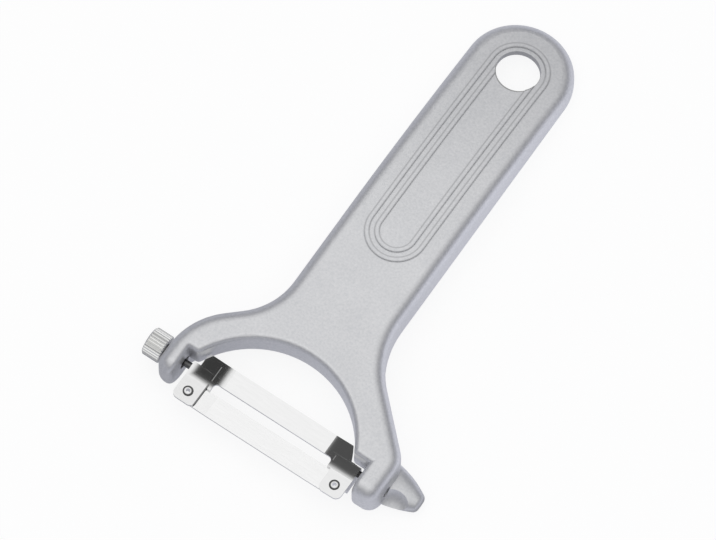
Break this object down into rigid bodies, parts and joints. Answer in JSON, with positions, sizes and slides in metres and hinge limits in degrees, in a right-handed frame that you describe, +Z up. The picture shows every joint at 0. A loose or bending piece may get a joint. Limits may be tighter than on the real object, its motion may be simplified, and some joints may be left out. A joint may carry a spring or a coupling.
{
  "type": "vegetable peeler",
  "caption": "Y-shaped cast aluminium vegetable peeler with a swivelling slotted blade, a knurled adjusting knob and a horn for potato eyes.",
  "frame": {"origin": "middle of the wall of the hanging hole, on the hole's axis", "axes": "+Y from the blade towards the hanging hole, +Z up out of the crowned face, -X towards the adjusting knob"},
  "size_m": [0.0867, 0.1463, 0.0153],
  "materials": {
    "cast_aluminium": "fine-grained satin casting",
    "frame_steel": "bright stamped stainless sheet",
    "blade_steel": "ground stainless strip",
    "rivet_steel": "rolled tubular rivet",
    "spindle_steel": "turned steel",
    "knob_metal": "knurled bright plated",
    "pin_steel": "dark turned steel"
  },
  "bodies": {
    "casting": {"body_casting": "cast_aluminium", "pivot_pin": "pin_steel"},
    "blade_unit": {"blade_frame": "frame_steel", "cutting_blade": "blade_steel", "rivet_left": "rivet_steel", "rivet_right": "rivet_steel"},
    "spindle": {"adjusting_spindle": "spindle_steel"},
    "knob": {"knurled_knob": "knob_metal"}
  },
  "joints": [
    {"name": "blade_swivel", "type": "hinge", "parent": "casting", "child": "blade_unit", "pos_m": [0.00215, -0.1206, 0.00112], "axis": [1, 0, 0], "range_deg": [-28, 28]},
    {"name": "spindle_travel", "type": "slide", "parent": "casting", "child": "spindle", "axis": [-1, 0, 0], "range_m": [-0.00023, 0.00139]},
    {"name": "knob_turn", "type": "hinge", "parent": "spindle", "child": "knob", "pos_m": [-0.037, -0.1206, 0.00112], "axis": [-1, 0, 0], "range_deg": [-120, 720]}
  ],
  "couplings": [
    {"joint": "knob_turn", "follows": "spindle_travel", "rad_per_m": 8976}
  ]
}
